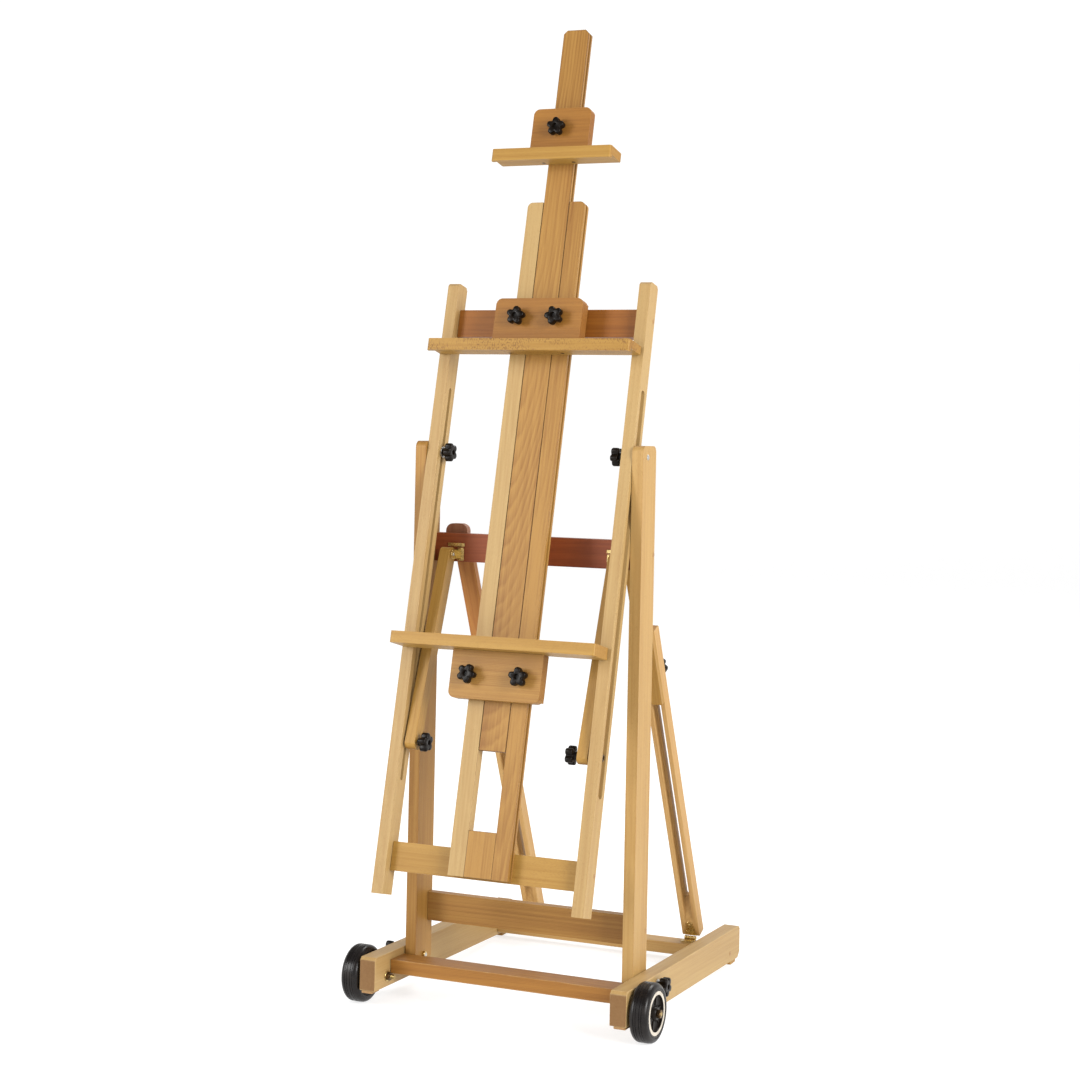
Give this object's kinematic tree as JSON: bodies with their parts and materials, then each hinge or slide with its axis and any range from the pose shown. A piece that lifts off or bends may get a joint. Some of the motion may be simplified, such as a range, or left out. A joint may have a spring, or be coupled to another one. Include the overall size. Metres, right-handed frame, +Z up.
{
  "type": "h-frame studio easel",
  "caption": "Wooden H-frame easel: a leaning frame with sliding mast and canvas ledges, on tilting uprights with telescopic rear struts, wheels and feet.",
  "frame": {"origin": "on the floor, under the middle of the easel's bounding box", "axes": "+Z up, +X to the right as the painter faces the easel, +Y from the painter to the back"},
  "size_m": [0.61, 0.6348, 1.7797],
  "materials": {
    "beech_light": "clear satin lacquer on planed light beech",
    "beech_honey": "clear satin lacquer on golden beech",
    "beech_steamed": "clear satin lacquer on reddish steamed beech",
    "knob_plastic": "moulded black plastic",
    "hub_plastic": "moulded black plastic with a cream ring on the outer face",
    "tyre_rubber": "smooth dark rubber",
    "brass_parts": "brass-plated, slightly dulled",
    "steel_bolts": "zinc-plated steel"
  },
  "bodies": {
    "base": {"runner_left": "beech_light", "runner_right": "beech_light", "rear_foot_left": "beech_honey", "rear_foot_right": "beech_honey", "front_crossbar": "beech_honey", "rear_crossbar": "beech_honey", "axle_left": "brass_parts", "axle_right": "brass_parts", "strut_hinge_left": "brass_parts", "strut_hinge_right": "brass_parts"},
    "wheel_left": {"tyre_left": "tyre_rubber", "hub_left": "hub_plastic"},
    "wheel_right": {"tyre_right": "tyre_rubber", "hub_right": "hub_plastic"},
    "base_knob_left": {"base_knob_left": "knob_plastic"},
    "base_knob_right": {"base_knob_right": "knob_plastic"},
    "uprights": {"upright_left": "beech_light", "upright_right": "beech_light", "upright_middle_rail": "beech_steamed", "upright_lower_rail": "beech_honey", "link_bracket_left": "brass_parts", "link_bracket_right": "brass_parts", "strut_head_left": "beech_steamed", "strut_head_right": "beech_steamed"},
    "frame_pivots": {"pivot_bolt_left": "steel_bolts", "pivot_bolt_right": "steel_bolts"},
    "h_frame": {"side_rail_left": "beech_light", "side_rail_right": "beech_light", "frame_top_board": "beech_steamed", "frame_bottom_board": "beech_honey", "column_guide_left": "beech_light", "column_guide_right": "beech_light", "column_filler": "beech_honey"},
    "mast": {"inner_mast": "beech_honey"},
    "top_holder": {"top_holder_ledge": "beech_honey", "top_holder_block": "beech_honey"},
    "top_holder_knob": {"top_holder_knob": "knob_plastic"},
    "middle_shelf": {"middle_shelf_ledge": "beech_honey", "middle_shelf_block": "beech_honey"},
    "lower_shelf": {"lower_shelf_ledge": "beech_honey", "lower_shelf_block": "beech_honey"},
    "strut_channel_left": {"strut_channel_left": "beech_light"},
    "strut_slat_left": {"strut_slat_left": "beech_steamed"},
    "strut_knob_left": {"strut_knob_left": "knob_plastic"},
    "pivot_knob_left": {"pivot_knob_left": "knob_plastic"},
    "link_left": {"link_left": "beech_light"},
    "link_knob_left": {"link_knob_left": "knob_plastic"},
    "slot_bolt_left": {"slot_bolt_left": "steel_bolts"},
    "middle_shelf_knob_left": {"middle_shelf_knob_left": "knob_plastic"},
    "lower_shelf_knob_left": {"lower_shelf_knob_left": "knob_plastic"},
    "strut_channel_right": {"strut_channel_right": "beech_light"},
    "strut_slat_right": {"strut_slat_right": "beech_steamed"},
    "strut_knob_right": {"strut_knob_right": "knob_plastic"},
    "pivot_knob_right": {"pivot_knob_right": "knob_plastic"},
    "link_right": {"link_right": "beech_light"},
    "link_knob_right": {"link_knob_right": "knob_plastic"},
    "slot_bolt_right": {"slot_bolt_right": "steel_bolts"},
    "middle_shelf_knob_right": {"middle_shelf_knob_right": "knob_plastic"},
    "lower_shelf_knob_right": {"lower_shelf_knob_right": "knob_plastic"}
  },
  "joints": [
    {"name": "upright_tilt", "type": "hinge", "parent": "base", "child": "uprights", "pos_m": [0, -0.11873, 0.06833], "axis": [-1, 0, 0], "range_deg": [-6, 10]},
    {"name": "frame_tilt", "type": "hinge", "parent": "uprights", "child": "frame_pivots", "pos_m": [0, -0.08249, 0.99367], "axis": [-1, 0, 0], "range_deg": [-13, 50]},
    {"name": "frame_height", "type": "slide", "parent": "frame_pivots", "child": "h_frame", "axis": [0, 0.2723, 0.9622], "range_m": [-0.11, 0.03]},
    {"name": "mast_height", "type": "slide", "parent": "h_frame", "child": "mast", "axis": [0, 0.2723, 0.9622], "range_m": [-0.04, 0.45]},
    {"name": "top_holder_height", "type": "slide", "parent": "mast", "child": "top_holder", "axis": [0, 0.2723, 0.9622], "range_m": [-0.02, 0.14]},
    {"name": "middle_shelf_height", "type": "slide", "parent": "h_frame", "child": "middle_shelf", "axis": [0, 0.2723, 0.9622], "range_m": [-0.25, 0.185]},
    {"name": "lower_shelf_height", "type": "slide", "parent": "h_frame", "child": "lower_shelf", "axis": [0, 0.2723, 0.9622], "range_m": [-0.29, 0.15]},
    {"name": "wheel_left_roll", "type": "hinge", "parent": "base", "child": "wheel_left", "pos_m": [-0.27975, -0.21469, 0.051], "axis": [1, 0, 0], "continuous": true},
    {"name": "wheel_right_roll", "type": "hinge", "parent": "base", "child": "wheel_right", "pos_m": [0.27975, -0.21469, 0.051], "axis": [1, 0, 0], "continuous": true},
    {"name": "base_knob_left_turn", "type": "hinge", "parent": "base", "child": "base_knob_left", "pos_m": [-0.2605, -0.11873, 0.06833], "axis": [1, 0, 0], "continuous": true},
    {"name": "base_knob_right_turn", "type": "hinge", "parent": "base", "child": "base_knob_right", "pos_m": [0.2605, -0.11873, 0.06833], "axis": [1, 0, 0], "continuous": true},
    {"name": "strut_swing_left", "type": "hinge", "parent": "base", "child": "strut_channel_left", "pos_m": [-0.169, 0.28439, 0.04061], "axis": [-1, 0, 0], "range_deg": [-9, 9]},
    {"name": "strut_length_left", "type": "slide", "parent": "strut_channel_left", "child": "strut_slat_left", "axis": [0, -0.3618, 0.9322], "range_m": [-0.068, 0.042]},
    {"name": "strut_knob_left_turn", "type": "hinge", "parent": "strut_slat_left", "child": "strut_knob_left", "pos_m": [-0.169, 0.10218, 0.58882], "axis": [0, 0.9322, 0.3618], "continuous": true},
    {"name": "strut_swing_right", "type": "hinge", "parent": "base", "child": "strut_channel_right", "pos_m": [0.169, 0.28439, 0.04061], "axis": [-1, 0, 0], "range_deg": [-9, 9]},
    {"name": "strut_length_right", "type": "slide", "parent": "strut_channel_right", "child": "strut_slat_right", "axis": [0, -0.3618, 0.9322], "range_m": [-0.068, 0.042]},
    {"name": "strut_knob_right_turn", "type": "hinge", "parent": "strut_slat_right", "child": "strut_knob_right", "pos_m": [0.169, 0.10218, 0.58882], "axis": [0, 0.9322, 0.3618], "continuous": true},
    {"name": "pivot_knob_left_turn", "type": "hinge", "parent": "frame_pivots", "child": "pivot_knob_left", "pos_m": [-0.1783, -0.08249, 0.99367], "axis": [1, 0, 0], "continuous": true},
    {"name": "pivot_knob_right_turn", "type": "hinge", "parent": "frame_pivots", "child": "pivot_knob_right", "pos_m": [0.1783, -0.08249, 0.99367], "axis": [1, 0, 0], "continuous": true},
    {"name": "link_swing_left", "type": "hinge", "parent": "uprights", "child": "link_left", "pos_m": [-0.167, -0.09162, 0.80689], "axis": [-1, 0, 0], "range_deg": [-20, 74]},
    {"name": "link_knob_left_turn", "type": "hinge", "parent": "link_left", "child": "link_knob_left", "pos_m": [-0.1545, -0.22653, 0.48465], "axis": [1, 0, 0], "continuous": true},
    {"name": "slot_bolt_left_travel", "type": "slide", "parent": "frame_pivots", "child": "slot_bolt_left", "axis": [0, 0.2723, 0.9622], "range_m": [-0.031, 0.116]},
    {"name": "link_swing_right", "type": "hinge", "parent": "uprights", "child": "link_right", "pos_m": [0.167, -0.09162, 0.80689], "axis": [-1, 0, 0], "range_deg": [-20, 74]},
    {"name": "link_knob_right_turn", "type": "hinge", "parent": "link_right", "child": "link_knob_right", "pos_m": [0.1545, -0.22653, 0.48465], "axis": [1, 0, 0], "continuous": true},
    {"name": "slot_bolt_right_travel", "type": "slide", "parent": "frame_pivots", "child": "slot_bolt_right", "axis": [0, 0.2723, 0.9622], "range_m": [-0.031, 0.116]},
    {"name": "top_holder_knob_turn", "type": "hinge", "parent": "top_holder", "child": "top_holder_knob", "pos_m": [-0.004, 0.04351, 1.58916], "axis": [0, 0.9622, -0.2723], "continuous": true},
    {"name": "middle_shelf_knob_left_turn", "type": "hinge", "parent": "middle_shelf", "child": "middle_shelf_knob_left", "pos_m": [-0.038, -0.05821, 1.24069], "axis": [0, 0.9622, -0.2723], "continuous": true},
    {"name": "middle_shelf_knob_right_turn", "type": "hinge", "parent": "middle_shelf", "child": "middle_shelf_knob_right", "pos_m": [0.038, -0.05821, 1.24069], "axis": [0, 0.9622, -0.2723], "continuous": true},
    {"name": "lower_shelf_knob_left_turn", "type": "hinge", "parent": "lower_shelf", "child": "lower_shelf_knob_left", "pos_m": [-0.0497, -0.23563, 0.61371], "axis": [0, 0.9622, -0.2723], "continuous": true},
    {"name": "lower_shelf_knob_right_turn", "type": "hinge", "parent": "lower_shelf", "child": "lower_shelf_knob_right", "pos_m": [0.0497, -0.23563, 0.61371], "axis": [0, 0.9622, -0.2723], "continuous": true}
  ],
  "couplings": [
    {"joint": "strut_swing_left", "follows": "upright_tilt", "ratio": 0.805},
    {"joint": "strut_length_left", "follows": "upright_tilt", "m_per_rad": -0.3695},
    {"joint": "strut_swing_right", "follows": "upright_tilt", "ratio": 0.805},
    {"joint": "strut_length_right", "follows": "upright_tilt", "m_per_rad": -0.3695},
    {"joint": "link_swing_left", "follows": "frame_tilt", "ratio": 1.45},
    {"joint": "slot_bolt_left_travel", "follows": "frame_tilt", "m_per_rad": 0.131},
    {"joint": "link_swing_right", "follows": "frame_tilt", "ratio": 1.45},
    {"joint": "slot_bolt_right_travel", "follows": "frame_tilt", "m_per_rad": 0.131}
  ]
}
